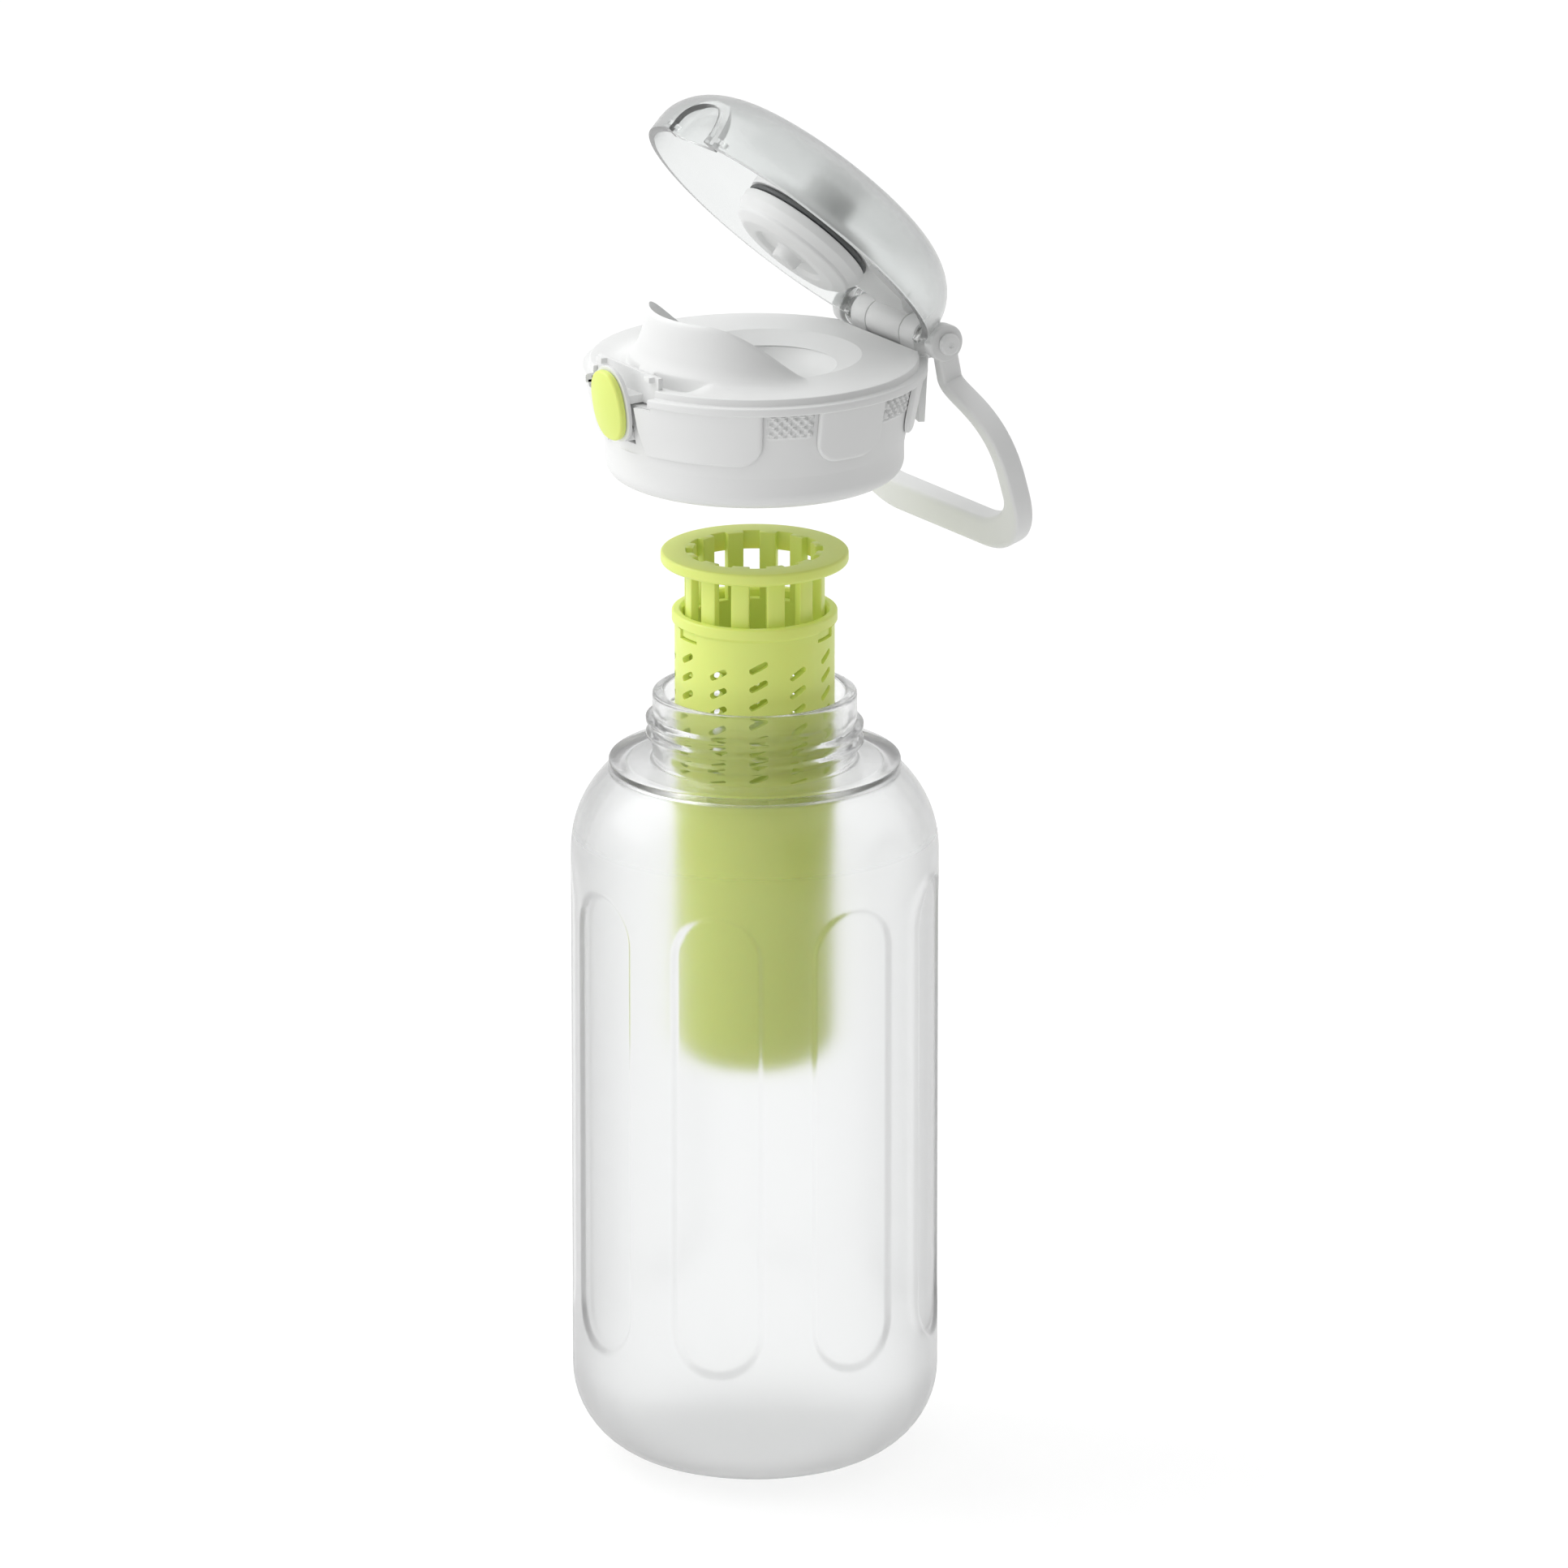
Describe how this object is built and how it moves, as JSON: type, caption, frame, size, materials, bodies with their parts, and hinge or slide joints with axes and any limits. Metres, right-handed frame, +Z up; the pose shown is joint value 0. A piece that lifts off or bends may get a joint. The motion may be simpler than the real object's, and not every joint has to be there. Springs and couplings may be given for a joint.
{
  "type": "sports water bottle",
  "caption": "Clear sports water bottle with a fluted body, screw lid with flip cap, push-button latch, carrying loop and slotted fruit infuser, shown taken apart.",
  "frame": {"origin": "middle of the bottle's flat base, on the surface that it stands on", "axes": "+Z up along the bottle's axis; -Y towards the lid's push button (the front); +Y towards the lid's hinge; +X along the hinge axis, to the right seen from the front"},
  "size_m": [0.09, 0.1042, 0.3439],
  "materials": {
    "clear_plastic": "clear, slightly frosted plastic",
    "white_plastic": "white moulded plastic, satin",
    "lime_plastic": "lime green moulded plastic, satin",
    "grey_silicone": "dark grey silicone, matt",
    "white_silicone": "white silicone, matt",
    "spring_steel": "plain drawn steel"
  },
  "bodies": {
    "bottle": {"bottle_body": "clear_plastic"},
    "lid_ring": {"lid_seal": "white_silicone"},
    "lid": {"lid_cover": "white_plastic", "lid_collar": "white_plastic", "hinge_bracket": "white_plastic", "hinge_pin": "spring_steel", "hinge_pin_cap_left": "white_plastic", "hinge_pin_cap_right": "white_plastic", "latch_pin": "spring_steel", "latch_spring": "spring_steel"},
    "cap": {"flip_cap": "clear_plastic", "cap_carrier": "white_plastic", "plug_gasket": "grey_silicone", "spout_plug": "white_plastic", "hinge_spring": "spring_steel"},
    "handle": {"handle_loop": "white_plastic"},
    "latch": {"latch_lever": "white_plastic", "latch_button": "lime_plastic"},
    "infuser": {"infuser_collar": "lime_plastic", "infuser_tube": "lime_plastic"}
  },
  "joints": [
    {"name": "lid_turn", "type": "hinge", "parent": "lid_ring", "child": "lid", "pos_m": [0, 0, 0.279], "axis": [0, 0, 1], "range_deg": [-7200, 0]},
    {"name": "lid_rise", "type": "slide", "parent": "bottle", "child": "lid_ring", "axis": [0, 0, 1], "range_m": [-0.072, 0]},
    {"name": "infuser_lift", "type": "slide", "parent": "bottle", "child": "infuser", "axis": [0, 0, 1], "range_m": [-0.0323, 0]},
    {"name": "cap_hinge", "type": "hinge", "parent": "lid", "child": "cap", "pos_m": [0, 0.0414, 0.281], "axis": [-1, 0, 0], "range_deg": [-45, 45], "stiffness_Nm_per_rad": 0.15, "springref_deg": 5.73},
    {"name": "handle_swing", "type": "hinge", "parent": "lid", "child": "handle", "pos_m": [0, 0.0414, 0.281], "axis": [1, 0, 0], "range_deg": [0, 75]},
    {"name": "latch_press", "type": "hinge", "parent": "lid", "child": "latch", "pos_m": [0, -0.0354, 0.2658], "axis": [-1, 0, 0], "range_deg": [0, 5.1], "stiffness_Nm_per_rad": 0.3, "springref_deg": -2.86}
  ],
  "couplings": [
    {"joint": "lid_rise", "follows": "lid_turn", "m_per_rad": 0.00057296},
    {"joint": "infuser_lift", "follows": "lid_turn", "m_per_rad": 0.00025704}
  ]
}
